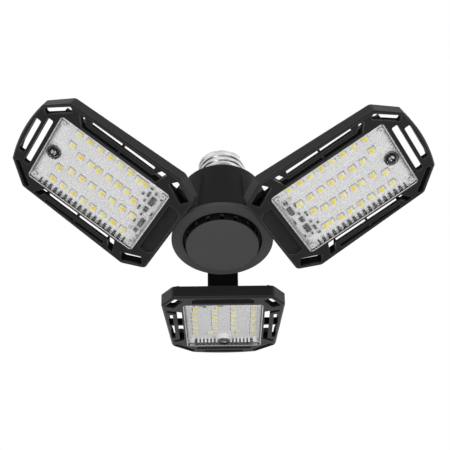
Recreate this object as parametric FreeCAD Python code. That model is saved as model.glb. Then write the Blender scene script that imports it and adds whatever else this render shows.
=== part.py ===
import FreeCAD, Part
import math
import os

# Deformable garage light: a hub on a screw base carries three folding LED panels.
# Millimetres. The origin is on the hub's axis where the screw shell leaves the housing,
# +Z points up to the ceiling socket, and -Y is the side that the viewer stands on.
# Each panel is drawn flat in its own frame: u runs outwards from its inner edge,
# v across it and w backwards from its lit face. It is then turned up about its hinge.

Vector = FreeCAD.Vector
Z_AXIS = Vector(0, 0, 1)

# --- screw base, 26 mm with 7 threads per inch ---
thread_crest_radius = 13.1
thread_root_radius = 12.3
thread_pitch = 25.4 / 7
thread_turns = 4.6
shell_length = 24.3
shell_bore_radius = 11.7
insulator_height = 2.4
insulator_top_radius = 6.2
insulator_bore_radius = 1.4
insulator_seat = 1.2         # depth of its rim inside the shell
contact_radius = 4.8
contact_height = 1.3
contact_rim_height = 0.6
contact_bevel = 1.4
contact_shank_length = 1.0
contact_shank_gap = 0.05
shell_foot_clearance = 0.1   # between the shell and the housing's top
shell_collar_radius = 13.05
shell_collar_height = 1.1
shell_collar_slope = 1.0
shell_lip = 0.9              # how far the far rim is rolled inwards
shell_lip_run = 1.4
shell_lip_thickness = 0.7
thread_end_margin = 2.6
thread_ridge_share = 0.36    # half the ridge's foot, of the pitch

# --- hub ---
hub_height = 35.3            # ring edge to the top of the housing
housing_top_radius = 22.6
housing_foot_radius = 25.3
housing_wall = 2.2
housing_top_thickness = 2.6
housing_edge_round = 1.6
neck_radius = 11.5
neck_wall = 1.8
neck_length = 17.0
ring_radius = 26.6
ring_hole_radius = 20.7
ring_thickness = 1.4         # at its outer edge
ring_cone_drop = 0.3         # how much lower its inner edge lies
ring_sleeve_height = 5.0
ring_sleeve_wall = 0.9
ring_sleeve_angle = 42.0
ring_sleeve_gap = 0.1
ring_sleeve_taper = 0.5
ring_edge_land = 0.5
ring_edge_drop = 0.4
cap_ledge = 0.5              # how far the ring reaches in over the cap's flange
cap_radius = 19.0
cap_drop = 4.2               # cap face below the ring's outer edge
cap_thickness = 1.6
cap_edge_round = 0.7
cap_flange_radius = 22.0
cap_flange_thickness = 1.2
cap_screw_circle = 21.1
cap_screw_radius = 0.6
cap_screw_head_radius = 0.85
cap_screw_head_thickness = 0.8
cap_screw_hold = 1.0         # its length in the ring
cap_screw_hole_gap = 0.1
cap_vent_count = 16
cap_vent_rise = 0.8          # lower end of a vent above the cap's face
cap_vent_width = 2.3
cap_vent_height = 4.0

# --- junction board inside the hub ---
board_drop = 21.5            # its top face below the housing's top
junction_radius = 12.6
junction_thickness = 1.6
junction_post_circle = 9.6
junction_post_radius = 2.3
terminal_block = {"y": -7.0, "length": 11.0, "width": 5.0, "height": 6.0,
                  "well_pitch": 3.6, "well_radius": 1.1, "well_depth": 2.0}
thermal_fuse = {"x": -4.0, "y": -0.5, "length": 8.0, "radius": 1.6}
surge_capacitor = {"x": 5.4, "y": 5.2, "height": 6.5, "radius": 2.6}

# --- hinges ---
hinge_azimuths = {"left": 210.0, "right": 330.0, "rear": 90.0}
rest_tilts = {"left": 23.0, "right": 17.2, "rear": 18.9}   # outer end above level
hinge_radius = 19.5          # hinge axis from the hub's axis
hinge_height = 7.6           # hinge axis above the ring's edge
hinge_inset = -3.18          # hinge axis outward of the panel's inner edge
hinge_depth = 23.12          # hinge axis behind the panel's lit face
arm_width = 16.5
barrel_radius = 4.4
washer_thickness = 0.25
washer_gap = 0.3             # space for a washer at each end of the barrel
hinge_washer_inset = 0.5     # smaller than the barrel by this much
ear_thickness = 3.65         # of the ear around a pivot
ear_wall = 1.3               # closed wall past the pivot's end
barrel_swing_gap = 0.5
pivot_radius = 2.4
pivot_running_gap = 0.05
pivot_depth_in_barrel = 6.0
pivot_chamfer = 0.3
bush_bore_radius = 1.3
bush_end_wall = 1.0
bush_door_radius = 1.1       # side way into the bush for the lead
cradle_throat = 4.2          # mouth that a pivot snaps through
boss_rise = 0.8              # how far a boss stands out of the cone
boss_top_height = 29.5       # arch tops above the ring's edge
boss_shoulder_height = 27.8
pocket_top_height = 25.0
pocket_shoulder_height = 22.5
pocket_wall = 1.5
lining_gap = 0.1             # between the pocket's lining and the cap's flange
arm_inner_u = 4.4            # inner face of the arm's web
arm_web_thickness = 6.0
arm_foot_length = 17.1
arm_foot_thickness = 3.0
arm_gusset = (2.2, 3.4)      # its run along the foot and its rise from it
arm_gusset_top = 6.8         # where the gusset ends on the web, above the foot
arm_crown = 1.1              # top of the web above the hinge axis
arm_neck_half = 3.9
arm_neck_drop = 4.2          # underside of the neck below the hinge axis
arm_screw_head_gap = 0.5     # between a screw's head and the gusset

# --- panel frame ---
panel_length = 90.0
panel_corner_length = 87.8   # where the bowed outer edge meets its chamfers
inner_half_width = 33.8
outer_half_width = 31.0
inner_chamfer_u = 11.6
inner_chamfer_v = 6.9
outer_chamfer_u = 11.5
outer_chamfer_v = 11.6
frame_depth = 6.8
plate_thickness = 3.4
skirt_wall = 1.6
front_edge_chamfer = 0.9
outline_round = 3.0
tray_wall = 0.75
tray_depth = 5.5
end_slot_width = 3.3
outer_slot_inset = (2.7, 19.2)   # from the panel's end, and its ends from the side
inner_slot_inset = (7.9, 14.7)
slot_round = 0.8
slot_end_share = 0.3         # corner radius of a chamfer slot, of its width
outer_chamfer_slot = {"start_inset": (13.9, 2.2), "end_inset": (2.6, 12.9), "width": 3.3}
inner_chamfer_corners = [(u, inner_half_width - inset) for u, inset in (
    (4.9, 12.5), (15.3, 6.7), (12.2, 1.9), (1.9, 7.9))]
inner_chamfer_round = 0.9
# the side openings' corners: u, and the share of the way from the lens to the panel's edge
window_corners = [(18.2, 0.79), (21.2, 0), (65.5, 0), (69.9, 0.773),
                  (66.6, 0.784), (63.9, 0.34), (24.2, 0.283), (21.5, 0.79)]
rail_slot_corners = [(25.2, 0.5), (62.3, 0.593), (62.3, 0.848), (25.2, 0.774)]
thin_bar_corners = [(25.2, 0), (62.3, 0)] + rail_slot_corners[2:]
window_lens_gap = 0.9        # from the lens's side to the openings
window_round = 0.5
bar_thickness = 1.8
bridge_u = 43.9
bridge_width = 1.3
bridge_setback = 1.1
bridge_back = 5.2
pad_u = (1.4, 9.0)           # shallow recess in the face beside the hub
pad_half = 17.0
pad_chamfer = 3.0
pad_recess_at_hub = 1.0
pad_recess_at_lens = 1.3

# --- lens, LED board and heat sink ---
lens_inner_u = 11.1
lens_outer_u = 76.7
lens_half_width = 22.1
lens_round = 1.8
lens_clearance = 0.15
lens_thickness = 1.2
lens_skirt_wall = 1.0
lens_rib_height = 0.8
lens_rib_width = 1.5
lens_rib_pitch = 3.1
lens_rib_margin = 6.0        # plain corners at both ends of a side's ribs
lens_end_rib_share = 0.7     # the end ribs' pitch and width, of the side ribs'
lens_end_rib_margin = 4.0
board_face_depth = 4.3       # LED board's white face behind the lit face
lens_post_radius = 1.5
lens_post_u_inset = 2.7
lens_post_v = 18.8
lens_screw_inset = 5.5       # from the lens's outer end
lens_screw_head_radius = 2.5
lens_screw_head_thickness = 1.4
lens_screw_well_radius = 3.1
lens_screw_well_depth = 2.0
lens_screw_well_wall = 0.8
lens_screw_tip = 0.8         # how far it shows behind the heat sink
lens_screw_radius = 1.25
sink_thickness = 1.8
fin_height = 3.6
fin_thickness = 1.3
fin_pitch = 4.4
fin_count = 10
fin_overhang = 0.3           # how far the fins pass the lens's outer end
fin_start_inset = 1.5
fin_round = 2.4
fin_arm_gap = 2.0            # between the arm's foot and the fins that stop at it
fin_side_gap = 0.6           # between the arm's foot and the fins that pass it
sink_tab_inset = (8.4, 3.2)  # ears for the two outer screws, from the lens's outer end
sink_tab_half = 28.2
sink_head_margin = 0.2       # from a screw's head to the ear's side
sink_flange_screw = (6.6, 19.4)
sink_flange_u = (3.4, 10.9)  # wide flange at the inner end, with a rim on each side
sink_flange_half = 25.2
sink_rim_wall = 1.3
sink_rim_height = 2.2
sink_rim_start = 5.8         # the rims stop short of the flange's inner edge
sink_room_gap = 0.3

# --- LED packages: four rows along the panel ---
chip_length = 3.5
chip_width = 2.8
chip_height = 0.75
chip_rows = {
    16.4: [25.0, 28.5, 34.0, 40.0, 46.2, 52.5, 58.8, 65.3],
    5.0: [24.8, 30.4, 35.5, 41.4, 47.6, 52.4, 58.9, 65.3],
    -5.9: [21.1, 27.3, 33.7, 40.0, 46.2, 52.4, 58.8, 65.3],
    -17.2: [21.1, 27.3, 33.7, 40.0, 46.2, 52.4, 58.8, 65.3],
}
chip_shifts = {(16.4, 25.0): -0.9, (16.4, 28.5): -0.9, (5.0, 24.8): -2.2,
               (5.0, 65.3): 3.1, (-5.9, 65.3): -2.8}

# --- fasteners and leads ---
small_screw_radius = 1.25
small_head_radius = 2.4
small_head_thickness = 1.2
small_screw_length = 5.0
screw_tip_gap = 0.4
screw_hole_gap = 0.1
head_round_share = 0.45
cross_share = 0.62           # reach of the recess, of the head's radius
cross_width = 0.7
cross_depth = 0.6
lead_radius = 0.8
lead_bend_radius = 2.2
lead_tight_bend = 0.95       # inside the hollow pivot
lead_hole_gap = 0.3
hub_lead_x = 5.0             # where a hub lead leaves the junction board
arm_lead_offset = 0.3        # from the middle of the arm's web
arm_lead_turns = (1.2, 5.4, 2.6)   # below the axis, above the foot, above the heat sink
base_lead_x = -6.5
contact_lead_y = 3.0
shell_lead_y = 8.0
bite = 0.05                  # how far joined shapes run into each other

# --- places worked out from the sizes above ---
shell_lip_radius = shell_bore_radius - shell_lip
ring_z = -hub_height
ring_top_z = ring_z + ring_thickness
hinge_z = ring_z + hinge_height
cap_face_z = ring_z - cap_drop
board_top_z = -board_drop
barrel_half = arm_width / 2
slot_half = barrel_half + washer_gap
pivot_end = slot_half + ear_thickness
boss_half = pivot_end + ear_wall
pocket_back_radius = hinge_radius - barrel_radius - barrel_swing_gap
pocket_inner_radius = pocket_back_radius - pocket_wall
lead_ear_v = slot_half + (ear_thickness - bush_end_wall) / 2
sink_face_w = tray_depth
sink_back_w = sink_face_w + sink_thickness
board_half = lens_half_width - lens_clearance
board_inner_u = lens_inner_u + lens_clearance
board_outer_u = lens_outer_u - lens_clearance
lens_screw_u = lens_outer_u - lens_screw_inset
fin_end_u = lens_outer_u + fin_overhang
sink_tab_u = (lens_outer_u - sink_tab_inset[0], lens_outer_u - sink_tab_inset[1])
sink_tab_screw = (sum(sink_tab_u) / 2, sink_tab_half - small_head_radius - sink_head_margin)
back_screw_places = [(u, side * v) for u, v in (sink_flange_screw, sink_tab_screw)
                     for side in (1, -1)]
back_boss_radius = 2.6
arm_screw_places = [(18.1, 5.2), (18.1, -5.2)]
lead_entry = (12.8, 0.0)     # where the lead reaches the LED board


def box(low, high):
    """A box between two corners."""
    size = [high[i] - low[i] for i in range(3)]
    return Part.makeBox(size[0], size[1], size[2], Vector(*low))


def cylinder(radius, height, base, axis=Z_AXIS):
    return Part.makeCylinder(radius, height, Vector(*base), Vector(*axis))


def fuse(shapes):
    """One solid from shapes that touch or overlap."""
    joined = shapes[0].fuse(list(shapes[1:])) if len(shapes) > 1 else shapes[0]
    return joined.removeSplitter()


def rounded_path(corners, radius, closed):
    """Straight runs through the corners, joined by tangent arcs."""
    corners = [Vector(*c) for c in corners]
    count = len(corners)
    radii = radius if isinstance(radius, (list, tuple)) else [radius] * count
    joints = []
    for i, here in enumerate(corners):
        if radii[i] <= 0 or (not closed and i in (0, count - 1)):
            joints.append((here, None, here))
            continue
        back = (corners[i - 1] - here).normalize()
        ahead = (corners[(i + 1) % count] - here).normalize()
        half_turn = back.getAngle(ahead) / 2
        run = radii[i] / math.tan(half_turn)
        inward = (back + ahead).normalize()
        middle = here + inward * (radii[i] / math.sin(half_turn) - radii[i])
        joints.append((here + back * run, middle, here + ahead * run))
    edges = []
    for i, (start, middle, end) in enumerate(joints):
        if middle is not None:
            edges.append(Part.Arc(start, middle, end).toShape())
        if i + 1 < count or closed:
            following = joints[(i + 1) % count][0]
            if (following - end).Length > 1e-6:
                edges.append(Part.LineSegment(end, following).toShape())
    return Part.Wire(edges)


def prism(corners, low, high, radius=0.0):
    """A plate with rounded corners, drawn in (u, v) and standing from w = low to high."""
    wire = rounded_path([(c[0], c[1], low) for c in corners], radius, True)
    return Part.Face(wire).extrude(Vector(0, 0, high - low))


def plate(u_low, u_high, v_half, low, high, radius=0.0):
    corners = [(u_low, -v_half), (u_high, -v_half), (u_high, v_half), (u_low, v_half)]
    return prism(corners, low, high, radius)


def mirrored(shape):
    """The shape and its twin across the panel's centre line."""
    return [shape, shape.mirror(Vector(0, 0, 0), Vector(0, 1, 0))]


def revolve(profile):
    """A turned solid from a profile of (radius, z) points."""
    wire = Part.makePolygon([Vector(r, 0, z) for r, z in profile + profile[:1]])
    return Part.Face(wire).revolve(Vector(0, 0, 0), Z_AXIS, 360)


def lead_tube(points):
    """A round lead along straight runs and tangent bends."""
    path = rounded_path(points, lead_bend_radius, False)
    start = Vector(*points[0])
    section = Part.Wire(Part.makeCircle(lead_radius, start, Vector(*points[1]) - start))
    return path.makePipe(Part.Face(section))


def cross_screw(place, axis, length, radius=small_screw_radius,
                head_radius=small_head_radius, head_thickness=small_head_thickness):
    """A pan-head screw with a cross recess; place is under its head, axis to its tip."""
    place = Vector(*place)
    axis = Vector(*axis).normalize()
    shank = Part.makeCylinder(radius, length, place, axis)
    head = Part.makeCylinder(head_radius, head_thickness, place, axis * -1)
    rim = [e for e in head.Edges if abs(e.CenterOfMass.sub(place).dot(axis) + head_thickness) < 1e-6]
    head = head.makeFillet(head_thickness * head_round_share, rim)
    slots = []
    reach = head_radius * cross_share
    for turn in (0, 90):
        slot = box((-reach, -cross_width / 2, -cross_depth), (reach, cross_width / 2, bite))
        slot.rotate(Vector(0, 0, 0), Z_AXIS, turn)
        slots.append(slot)
    recess = fuse(slots)
    recess.Placement = FreeCAD.Placement(place - axis * head_thickness,
                                         FreeCAD.Rotation(Z_AXIS, axis * -1))
    return fuse([shank, head]).cut(recess)


def at_azimuth(shape, azimuth):
    """Turns a shape drawn at azimuth 0 about the hub's axis."""
    turned = shape.copy()
    turned.rotate(Vector(0, 0, 0), Z_AXIS, azimuth)
    return turned


def place_on_hinge(shape, side):
    """Moves a panel piece from its flat frame to its hinge at the rest tilt."""
    placed = shape.copy()
    placed.translate(Vector(-hinge_inset, 0, -hinge_depth))
    placed.rotate(Vector(0, 0, 0), Vector(0, 1, 0), -rest_tilts[side])
    placed.translate(Vector(hinge_radius, 0, hinge_z))
    return at_azimuth(placed, hinge_azimuths[side])


# ---------------------------------------------------------------- panel pieces

def panel_outline(depth, inset=0.0):
    """The octagon with its bowed outer edge, as a solid as deep as asked."""
    corners = [
        (0, -(inner_half_width - inner_chamfer_v)),
        (inner_chamfer_u, -inner_half_width),
        (panel_corner_length - outer_chamfer_u, -outer_half_width),
        (panel_corner_length, -(outer_half_width - outer_chamfer_v)),
        (panel_corner_length, outer_half_width - outer_chamfer_v),
        (panel_corner_length - outer_chamfer_u, outer_half_width),
        (inner_chamfer_u, inner_half_width),
        (0, inner_half_width - inner_chamfer_v),
    ]
    wire = rounded_path([(u, v, 0) for u, v in corners],
                        [outline_round] * 3 + [0, 0] + [outline_round] * 3, True)
    # the straight outer edge is swapped for one arc through the bow's crown
    edges = [e for e in wire.Edges
             if abs(e.CenterOfMass.x - panel_corner_length) > 1e-3]
    bow = Part.Arc(Vector(*corners[3], 0), Vector(panel_length, 0, 0),
                   Vector(*corners[4], 0)).toShape()
    face = Part.Face(Part.Wire(Part.__sortEdges__(edges + [bow])))
    if inset:
        face = face.makeOffset2D(-inset)
    return face.extrude(Vector(0, 0, depth))


def chamfer_slot(start, end, width, low, high):
    """A straight slot with round corners between two centre points."""
    along = (Vector(*end, 0) - Vector(*start, 0)).normalize()
    side = Vector(-along.y, along.x, 0) * (width / 2)
    corners = [Vector(*start, 0) - side, Vector(*end, 0) - side,
               Vector(*end, 0) + side, Vector(*start, 0) + side]
    return prism([(c.x, c.y) for c in corners], low, high, width * slot_end_share)


def side_corners(corners):
    """Corners given as (u, share of the way from the lens to the panel's edge), as (u, v)."""
    lens_side = lens_half_width + window_lens_gap
    edge_slope = ((outer_half_width - inner_half_width)
                  / (panel_corner_length - outer_chamfer_u - inner_chamfer_u))
    return [(u, lens_side + share * (inner_half_width + edge_slope * (u - inner_chamfer_u)
                                     - lens_side)) for u, share in corners]


def make_frame():
    body = panel_outline(frame_depth)
    front_edges = [e for e in body.Edges
                   if all(abs(p.Point.z) < 1e-6 for p in e.Vertexes)
                   and abs(e.CenterOfMass.z) < 1e-6]
    body = body.makeChamfer(front_edge_chamfer, front_edges)
    below, above = -1.0, frame_depth + 1.0

    hollow = panel_outline(above, skirt_wall).cut(
        box((-panel_length, -panel_length, below), (2 * panel_length, panel_length, plate_thickness)))
    tray = plate(lens_inner_u - tray_wall, lens_outer_u + tray_wall,
                 lens_half_width + tray_wall, 0, above, lens_round + tray_wall)
    hollow = hollow.cut(tray)
    bosses = [cylinder(back_boss_radius, sink_face_w, (u, v, 0)) for u, v in back_screw_places]
    hollow = hollow.cut(fuse(bosses))
    tray_back = plate(lens_inner_u - 2 * tray_wall, lens_outer_u + 2 * tray_wall,
                      lens_half_width + 2 * tray_wall, tray_depth, above)
    sink_room = sink_outline(sink_face_w, above, sink_room_gap)
    window = plate(lens_inner_u, lens_outer_u, lens_half_width, below, above, lens_round)
    cuts = [hollow, tray_back, sink_room, window]

    for end_inset, side_inset in (outer_slot_inset, inner_slot_inset):
        slot_end_u = panel_length - end_inset
        cuts.append(plate(slot_end_u - end_slot_width, slot_end_u, outer_half_width - side_inset,
                          below, above, slot_round))
    pad = [(pad_u[0], -pad_half + pad_chamfer), (pad_u[0] + pad_chamfer, -pad_half),
           (pad_u[1], -pad_half), (pad_u[1], pad_half),
           (pad_u[0] + pad_chamfer, pad_half), (pad_u[0], pad_half - pad_chamfer)]
    pad_floor = Part.makePolygon([Vector(u, -pad_half, w) for u, w in (
        (pad_u[0], below), (pad_u[1], below), (pad_u[1], pad_recess_at_lens),
        (pad_u[0], pad_recess_at_hub), (pad_u[0], below))])
    pad_wedge = Part.Face(pad_floor).extrude(Vector(0, 2 * pad_half, 0))
    cuts.append(prism(pad, below, plate_thickness, slot_round).common(pad_wedge))
    slot_start, slot_end = [(panel_corner_length - outer_chamfer_slot[end][0],
                             outer_half_width - outer_chamfer_slot[end][1])
                            for end in ("start_inset", "end_inset")]
    cuts += mirrored(chamfer_slot(slot_start, slot_end, outer_chamfer_slot["width"], below, above))
    cuts += mirrored(prism(inner_chamfer_corners, below, above, inner_chamfer_round))
    cuts += mirrored(prism(side_corners(window_corners), below, above, window_round))
    cuts += mirrored(prism(side_corners(rail_slot_corners), below, above, window_round))
    cuts += mirrored(prism(side_corners(thin_bar_corners), bar_thickness, above))
    for u, v in back_screw_places:
        cuts.append(cylinder(small_screw_radius, small_screw_length,
                             (u, v, sink_back_w - small_screw_length)))
    frame = body
    for cut in cuts:
        frame = frame.cut(cut)
    bridge = box((bridge_u - bridge_width / 2, lens_half_width + tray_wall - bite, bridge_setback),
                 (bridge_u + bridge_width / 2, outer_half_width, bridge_back))
    return fuse([frame] + mirrored(bridge))


def sink_outline(low, high, grow=0.0):
    """The heat sink's plate: a rectangle, an inner flange and two ears for its outer screws."""
    middle = (lens_inner_u - tray_wall, lens_outer_u + tray_wall)
    slabs = []
    for (inner, outer), half in ((middle, lens_half_width + tray_wall),
                                 (sink_flange_u, sink_flange_half), (sink_tab_u, sink_tab_half)):
        slabs.append(plate(inner - grow, outer + grow, half + grow, low, high))
    return fuse(slabs)


def make_heat_sink():
    sink = sink_outline(sink_face_w, sink_back_w)
    fins = []
    for i in range(fin_count):
        v = (i - (fin_count - 1) / 2) * fin_pitch
        behind_arm = abs(v) < (arm_width + fin_thickness) / 2 + fin_side_gap
        start = arm_inner_u + arm_foot_length + fin_arm_gap if behind_arm \
            else lens_inner_u + fin_start_inset
        side_v, foot_w, top_w = v - fin_thickness / 2, sink_back_w - bite, sink_back_w + fin_height
        profile = rounded_path([(start, side_v, foot_w), (fin_end_u, side_v, foot_w),
                                (fin_end_u, side_v, top_w), (start, side_v, top_w)],
                               [0, 0, fin_round, fin_round], True)
        fins.append(Part.Face(profile).extrude(Vector(0, fin_thickness, 0)))
    rim = box((sink_rim_start, sink_flange_half - sink_rim_wall, sink_face_w),
              (sink_flange_u[1], sink_flange_half, sink_back_w + sink_rim_height))
    sink = fuse([sink] + fins + mirrored(rim))
    holes = [cylinder(small_screw_radius + screw_hole_gap, 20, (u, v, 0))
             for u, v in back_screw_places]
    holes += [cylinder(small_screw_radius, 20, (u, v, 0)) for u, v in arm_screw_places]
    holes.append(cylinder(lens_screw_radius, 20, (lens_screw_u, 0, 0)))
    holes.append(cylinder(lead_radius + lead_hole_gap, 20, (*lead_entry, 0)))
    return sink.cut(fuse(holes))


def make_lens():
    outer = plate(board_inner_u, board_outer_u, board_half, 0, board_face_depth, lens_round)
    inner_half = board_half - lens_skirt_wall
    inner = plate(board_inner_u + lens_skirt_wall, board_outer_u - lens_skirt_wall, inner_half,
                  lens_thickness, board_face_depth + 1, lens_round - lens_skirt_wall * 0.7)
    parts = [outer.cut(inner)]
    rib_low, rib_high = lens_thickness - bite, board_face_depth
    along = int((board_outer_u - board_inner_u - 2 * lens_rib_margin) / lens_rib_pitch)
    middle_u = (board_inner_u + board_outer_u) / 2
    for i in range(along):
        u = middle_u + (i - (along - 1) / 2) * lens_rib_pitch
        rib = box((u - lens_rib_width / 2, inner_half - lens_rib_height, rib_low),
                  (u + lens_rib_width / 2, inner_half + bite, rib_high))
        parts += mirrored(rib)
    across_pitch = lens_rib_pitch * lens_end_rib_share
    end_rib_half = lens_rib_width * lens_end_rib_share / 2
    across = int((2 * inner_half - 2 * lens_end_rib_margin) / across_pitch)
    for i in range(across):
        v = (i - (across - 1) / 2) * across_pitch
        for wall_u, step in ((board_inner_u + lens_skirt_wall, 1),
                             (board_outer_u - lens_skirt_wall, -1)):
            u_low, u_high = sorted((wall_u - bite * step, wall_u + lens_rib_height * step))
            parts.append(box((u_low, v - end_rib_half, rib_low), (u_high, v + end_rib_half, rib_high)))
    for u in (board_inner_u + lens_post_u_inset, board_outer_u - lens_post_u_inset):
        for v in (lens_post_v, -lens_post_v):
            parts.append(cylinder(lens_post_radius, rib_high - rib_low, (u, v, rib_low)))
    parts.append(cylinder(lens_screw_well_radius + lens_screw_well_wall, board_face_depth - rib_low,
                          (lens_screw_u, 0, rib_low)))
    lens = fuse(parts)
    well = cylinder(lens_screw_well_radius, lens_screw_well_depth + 1, (lens_screw_u, 0, -1))
    hole = cylinder(lens_screw_radius + screw_hole_gap, 20, (lens_screw_u, 0, -1))
    return lens.cut(fuse([well, hole]))


def make_led_board():
    board = plate(board_inner_u, board_outer_u, board_half, board_face_depth, sink_face_w,
                  lens_round)
    holes = [cylinder(lens_screw_radius + screw_hole_gap, 20, (lens_screw_u, 0, 0)),
             cylinder(lead_radius + lead_hole_gap, 20, (*lead_entry, 0))]
    return board.cut(fuse(holes))


def make_led_chips():
    chips = []
    for row_v, places in chip_rows.items():
        for u in places:
            v = row_v + chip_shifts.get((row_v, u), 0.0)
            chips.append(box((u - chip_length / 2, v - chip_width / 2, board_face_depth - chip_height),
                             (u + chip_length / 2, v + chip_width / 2, board_face_depth)))
    return Part.makeCompound(chips)


# what drives the LEDs: centre (u, v), size along u and v, height
driver_layout = {
    "driver_chip": (16.9, 9.6, 3.9, 4.9, 1.5),
    "second_driver_chip": (17.0, 2.6, 3.2, 3.0, 1.2),
    "rectifier": (15.3, -5.2, 3.0, 4.8, 1.6),
    "fuse_resistor": (14.8, -12.6, 2.0, 3.4, 0.9),
    "sense_resistor": (21.9, 11.0, 1.3, 2.4, 0.7),
    "bleed_resistor": (23.9, 11.0, 1.3, 2.4, 0.7),
    "film_capacitor": (20.6, 17.0, 1.6, 2.2, 0.9),
}


def make_driver_parts():
    parts = []
    for u, v, length, width, height in driver_layout.values():
        parts.append(box((u - length / 2, v - width / 2, board_face_depth - height),
                         (u + length / 2, v + width / 2, board_face_depth)))
    return Part.makeCompound(parts)


def make_lens_screw():
    return cross_screw((lens_screw_u, 0, lens_screw_well_depth), (0, 0, 1),
                       sink_back_w + lens_screw_tip - lens_screw_well_depth, lens_screw_radius,
                       lens_screw_head_radius, lens_screw_head_thickness)


def make_back_screws():
    return Part.makeCompound([cross_screw((u, v, sink_back_w), (0, 0, -1), small_screw_length)
                              for u, v in back_screw_places])


def arm_lead_route():
    """The lead's way from the hinge axis through the arm to the LED board."""
    web_u = arm_inner_u + arm_web_thickness / 2 + arm_lead_offset
    below_axis, above_foot, above_sink = arm_lead_turns
    return [(hinge_inset, barrel_half - pivot_depth_in_barrel, hinge_depth),
            (hinge_inset, lead_entry[1], hinge_depth),
            (web_u, lead_entry[1], hinge_depth - below_axis),
            (web_u, lead_entry[1], sink_back_w + above_foot),
            (lead_entry[0], lead_entry[1], sink_back_w + above_sink),
            (lead_entry[0], lead_entry[1], board_face_depth)]


def make_hinge_arm():
    barrel = cylinder(barrel_radius, arm_width, (hinge_inset, -barrel_half, hinge_depth), (0, 1, 0))
    web_u = arm_inner_u + arm_web_thickness
    foot_u = arm_inner_u + arm_foot_length
    foot_w = sink_back_w + arm_foot_thickness
    gusset_u = arm_screw_places[0][0] - small_head_radius - arm_screw_head_gap
    side = [(arm_inner_u, sink_back_w), (foot_u, sink_back_w), (foot_u, foot_w),
            (gusset_u, foot_w), (web_u + arm_gusset[0], foot_w + arm_gusset[1]),
            (web_u, foot_w + arm_gusset_top), (web_u, hinge_depth + arm_crown),
            (hinge_inset, hinge_depth + arm_neck_half), (hinge_inset, hinge_depth - arm_neck_half),
            (arm_inner_u, hinge_depth - arm_neck_drop)]
    wire = rounded_path([(u, -barrel_half, w) for u, w in side],
                        [0, 0, 0.8, 0.8, 2.0, 3.0, 4.5, 0, 0, 1.5], True)
    web = Part.Face(wire).extrude(Vector(0, arm_width, 0))
    arm = fuse([barrel, web])
    bore = cylinder(pivot_radius + pivot_running_gap, arm_width + 2,
                    (hinge_inset, -barrel_half - 1, hinge_depth), (0, 1, 0))
    channel_path = rounded_path(arm_lead_route()[1:], lead_bend_radius, False)
    start = Vector(*arm_lead_route()[1])
    heading = Vector(*arm_lead_route()[2]) - start
    mouth = Part.Face(Part.Wire(Part.makeCircle(lead_radius + lead_hole_gap, start, heading)))
    channel = channel_path.makePipe(mouth)
    screw_holes = [cylinder(small_screw_radius + screw_hole_gap, 20, (u, v, sink_back_w - 1))
                   for u, v in arm_screw_places]
    return arm.cut(fuse([bore, channel])).cut(fuse(screw_holes))


def make_arm_screws():
    return Part.makeCompound([
        cross_screw((u, v, sink_back_w + arm_foot_thickness), (0, 0, -1),
                    arm_foot_thickness + sink_thickness - screw_tip_gap / 2)
        for u, v in arm_screw_places])


def make_panel_lead():
    return lead_tube(arm_lead_route())


# ------------------------------------------------- hinge pieces, drawn at azimuth 0

def pivot_blank(side):
    """A round pivot from its ear into the barrel, on the side of positive or negative v."""
    length = pivot_end - barrel_half + pivot_depth_in_barrel
    blank = cylinder(pivot_radius, length, (hinge_radius, side * pivot_end, hinge_z), (0, -side, 0))
    return blank.makeChamfer(pivot_chamfer, [e for e in blank.Edges if len(e.Vertexes) == 1])


def make_hinge_pin():
    return pivot_blank(-1)


def make_hinge_bush():
    """Hollow pivot on the side of positive v, which the lead passes through."""
    bore = cylinder(bush_bore_radius, 2 * boss_half,
                    (hinge_radius, pivot_end - bush_end_wall, hinge_z), (0, -1, 0))
    side_door = cylinder(bush_door_radius, pivot_radius + 1,
                         (hinge_radius, lead_ear_v, hinge_z), (-1, 0, 0))
    return pivot_blank(1).cut(fuse([bore, side_door]))


def make_hinge_washers():
    washers = []
    for side in (1, -1):
        base = (hinge_radius, side * (barrel_half + washer_gap / 2) - washer_thickness / 2, hinge_z)
        disc = cylinder(barrel_radius - hinge_washer_inset, washer_thickness, base, (0, 1, 0))
        hole = cylinder(pivot_radius + pivot_running_gap, washer_thickness, base, (0, 1, 0))
        washers.append(disc.cut(hole))
    return Part.makeCompound(washers)


def hub_lead_route():
    """The lead's way from the junction board through the ear to the hinge axis."""
    return [(hub_lead_x, lead_ear_v, board_top_z - junction_thickness),
            (hub_lead_x, lead_ear_v, hinge_z),
            (hinge_radius, lead_ear_v, hinge_z),
            (hinge_radius, barrel_half - pivot_depth_in_barrel, hinge_z)]


def make_hub_lead():
    points = hub_lead_route()
    path = rounded_path(points, [0, lead_bend_radius, lead_tight_bend, 0], False)
    start = Vector(*points[0])
    section = Part.Face(Part.Wire(Part.makeCircle(lead_radius, start, Vector(*points[1]) - start)))
    return path.makePipe(section)


# ------------------------------------------------------------------- hub pieces

def cone_radius(height, foot, top):
    """Radius of the tapered housing at a height above the ring's edge."""
    share = (height - ring_thickness) / (hub_height - ring_thickness)
    return foot + (top - foot) * share


def arch_prism(half, shoulder, crown, radius_low, radius_high, base_height):
    """A block with an arched top, facing outwards along +X."""
    low, mid, high = ring_z + base_height, ring_z + shoulder, ring_z + crown
    edges = [
        Part.LineSegment(Vector(0, -half, mid), Vector(0, -half, low)).toShape(),
        Part.LineSegment(Vector(0, -half, low), Vector(0, half, low)).toShape(),
        Part.LineSegment(Vector(0, half, low), Vector(0, half, mid)).toShape(),
        Part.Arc(Vector(0, half, mid), Vector(0, 0, high), Vector(0, -half, mid)).toShape(),
    ]
    block = Part.Face(Part.Wire(edges)).extrude(Vector(radius_high - radius_low, 0, 0))
    block.translate(Vector(radius_low, 0, 0))
    return block


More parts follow.
